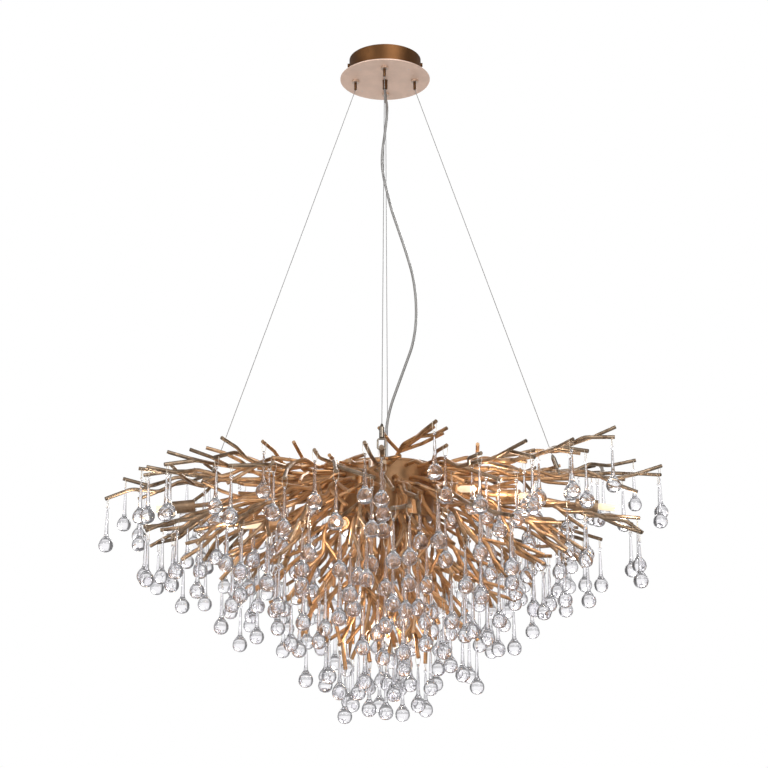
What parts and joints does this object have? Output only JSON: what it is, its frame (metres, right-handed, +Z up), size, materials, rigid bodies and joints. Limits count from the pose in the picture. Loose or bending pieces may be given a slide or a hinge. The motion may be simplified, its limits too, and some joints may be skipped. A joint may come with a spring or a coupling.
{
  "type": "crystal chandelier",
  "caption": "Oval ceiling chandelier with drooping gold branches, hanging clear glass drops and small capsule lamps, held by a round canopy and steel cables.",
  "frame": {"origin": "centre of the canopy's ceiling side, in the ceiling plane, midway between the two ceiling screws", "axes": "+Z up into the ceiling, +X along the long way of the oval crown, -Y towards the front"},
  "size_m": [1.1748, 0.7648, 1.4464],
  "materials": {
    "bright_brass": "satin brass",
    "bronze_paint": "satin brown bronze lacquer",
    "cable_steel": "stranded stainless cable",
    "champagne_paint": "satin pale champagne lacquer",
    "cord_pvc": "clear sleeve over a silver braid",
    "crystal": "clear solid crystal",
    "gold_branch": "antique gold lacquer with a pale sheen",
    "hanger_wire": "fine brass wire",
    "lamp_glass": "clear capsule, lit warm white",
    "terminal_plastic": "plain moulded",
    "zinc_steel": "zinc plated"
  },
  "bodies": {
    "chandelier": {"branches_tier_1": "gold_branch", "branches_tier_2": "gold_branch", "branches_tier_3": "gold_branch", "branches_tier_4": "gold_branch", "branches_tier_5": "gold_branch", "branches_tier_6": "gold_branch", "branches_tier_7": "gold_branch", "cable_clutches": "bright_brass", "cable_grips": "bright_brass", "cable_stirrups": "bright_brass", "canopy_face_plate": "champagne_paint", "canopy_housing": "bronze_paint", "canopy_side_screws": "bright_brass", "ceiling_bracket": "zinc_steel", "centre_stem": "gold_branch", "cord_gland": "bright_brass", "drop_hangers_inner": "hanger_wire", "drop_hangers_outer": "hanger_wire", "face_plate_screws": "zinc_steel", "fixed_drops_level_1": "crystal", "fixed_drops_level_2": "crystal", "fixed_drops_level_3": "crystal", "fixed_drops_level_4": "crystal", "fixed_drops_level_5": "crystal", "grip_lock_nuts": "zinc_steel", "hub_cord_gland": "bright_brass", "hub_drum": "gold_branch", "hub_floor": "gold_branch", "hub_lid": "gold_branch", "hub_tie_screws": "zinc_steel", "lamp_arms": "gold_branch", "lamp_bulbs": "lamp_glass", "lamp_holders": "gold_branch", "power_cord": "cord_pvc", "support_arm_back": "gold_branch", "support_arm_front": "gold_branch", "support_arm_left": "gold_branch", "support_arm_right": "gold_branch", "suspension_cable_back": "cable_steel", "suspension_cable_front": "cable_steel", "suspension_cable_left": "cable_steel", "suspension_cable_right": "cable_steel", "terminal_block": "terminal_plastic"},
    "swing_drop_01_body": {"swing_drop_01": "crystal"},
    "swing_drop_02_body": {"swing_drop_02": "crystal"},
    "swing_drop_03_body": {"swing_drop_03": "crystal"},
    "swing_drop_04_body": {"swing_drop_04": "crystal"},
    "swing_drop_05_body": {"swing_drop_05": "crystal"},
    "swing_drop_06_body": {"swing_drop_06": "crystal"},
    "swing_drop_07_body": {"swing_drop_07": "crystal"},
    "swing_drop_08_body": {"swing_drop_08": "crystal"},
    "swing_drop_09_body": {"swing_drop_09": "crystal"},
    "swing_drop_10_body": {"swing_drop_10": "crystal"},
    "swing_drop_11_body": {"swing_drop_11": "crystal"},
    "swing_drop_12_body": {"swing_drop_12": "crystal"},
    "swing_drop_13_body": {"swing_drop_13": "crystal"},
    "swing_drop_14_body": {"swing_drop_14": "crystal"},
    "swing_drop_15_body": {"swing_drop_15": "crystal"},
    "swing_drop_16_body": {"swing_drop_16": "crystal"}
  },
  "joints": [
    {"name": "swing_drop_01_hook", "type": "hinge", "parent": "chandelier", "child": "swing_drop_01_body", "pos_m": [-0.14947, 0.37308, -0.93101], "axis": [0.9009, 0.4341, 0], "range_deg": [-20, 20]},
    {"name": "swing_drop_02_hook", "type": "hinge", "parent": "chandelier", "child": "swing_drop_02_body", "pos_m": [0.48295, 0.23137, -0.91248], "axis": [0.9874, -0.158, 0], "range_deg": [-20, 20]},
    {"name": "swing_drop_03_hook", "type": "hinge", "parent": "chandelier", "child": "swing_drop_03_body", "pos_m": [-0.48714, 0.22104, -0.94409], "axis": [0.4155, 0.9096, 0], "range_deg": [-20, 20]},
    {"name": "swing_drop_04_hook", "type": "hinge", "parent": "chandelier", "child": "swing_drop_04_body", "pos_m": [0.54072, 0.15776, -0.90441], "axis": [-0.0485, -0.9988, 0], "range_deg": [-20, 20]},
    {"name": "swing_drop_05_hook", "type": "hinge", "parent": "chandelier", "child": "swing_drop_05_body", "pos_m": [-0.5298, 0.15906, -0.93134], "axis": [0.1414, 0.99, 0], "range_deg": [-20, 20]},
    {"name": "swing_drop_06_hook", "type": "hinge", "parent": "chandelier", "child": "swing_drop_06_body", "pos_m": [0.57888, 0.05583, -0.93647], "axis": [0.2169, -0.9762, 0], "range_deg": [-20, 20]},
    {"name": "swing_drop_07_hook", "type": "hinge", "parent": "chandelier", "child": "swing_drop_07_body", "pos_m": [0.35748, -0.2713, -0.94558], "axis": [-0.8386, -0.5447, 0], "range_deg": [-20, 20]},
    {"name": "swing_drop_08_hook", "type": "hinge", "parent": "chandelier", "child": "swing_drop_08_body", "pos_m": [-0.28144, -0.30062, -0.9975], "axis": [-0.4706, 0.8824, 0], "range_deg": [-20, 20]},
    {"name": "swing_drop_09_hook", "type": "hinge", "parent": "chandelier", "child": "swing_drop_09_body", "pos_m": [-0.56588, -0.05145, -1.01705], "axis": [-0.4537, 0.8912, 0], "range_deg": [-20, 20]},
    {"name": "swing_drop_10_hook", "type": "hinge", "parent": "chandelier", "child": "swing_drop_10_body", "pos_m": [0.23709, -0.31048, -1.09412], "axis": [-0.7088, -0.7054, 0], "range_deg": [-20, 20]},
    {"name": "swing_drop_11_hook", "type": "hinge", "parent": "chandelier", "child": "swing_drop_11_body", "pos_m": [-0.55566, 0.06817, -0.95761], "axis": [-0.0256, 0.9997, 0], "range_deg": [-20, 20]},
    {"name": "swing_drop_12_hook", "type": "hinge", "parent": "chandelier", "child": "swing_drop_12_body", "pos_m": [0.29003, 0.29181, -0.92219], "axis": [0.7983, -0.6022, 0], "range_deg": [-20, 20]},
    {"name": "swing_drop_13_hook", "type": "hinge", "parent": "chandelier", "child": "swing_drop_13_body", "pos_m": [-0.24944, 0.30279, -0.91008], "axis": [0.5635, 0.8261, 0], "range_deg": [-20, 20]},
    {"name": "swing_drop_14_hook", "type": "hinge", "parent": "chandelier", "child": "swing_drop_14_body", "pos_m": [0.09728, 0.32914, -0.94043], "axis": [0.9929, -0.119, 0], "range_deg": [-20, 20]},
    {"name": "swing_drop_15_hook", "type": "hinge", "parent": "chandelier", "child": "swing_drop_15_body", "pos_m": [-0.28857, 0.27982, -0.97013], "axis": [0.9883, 0.1523, 0], "range_deg": [-20, 20]},
    {"name": "swing_drop_16_hook", "type": "hinge", "parent": "chandelier", "child": "swing_drop_16_body", "pos_m": [-0.0922, 0.32413, -0.93644], "axis": [0.8713, 0.4907, 0], "range_deg": [-20, 20]}
  ]
}
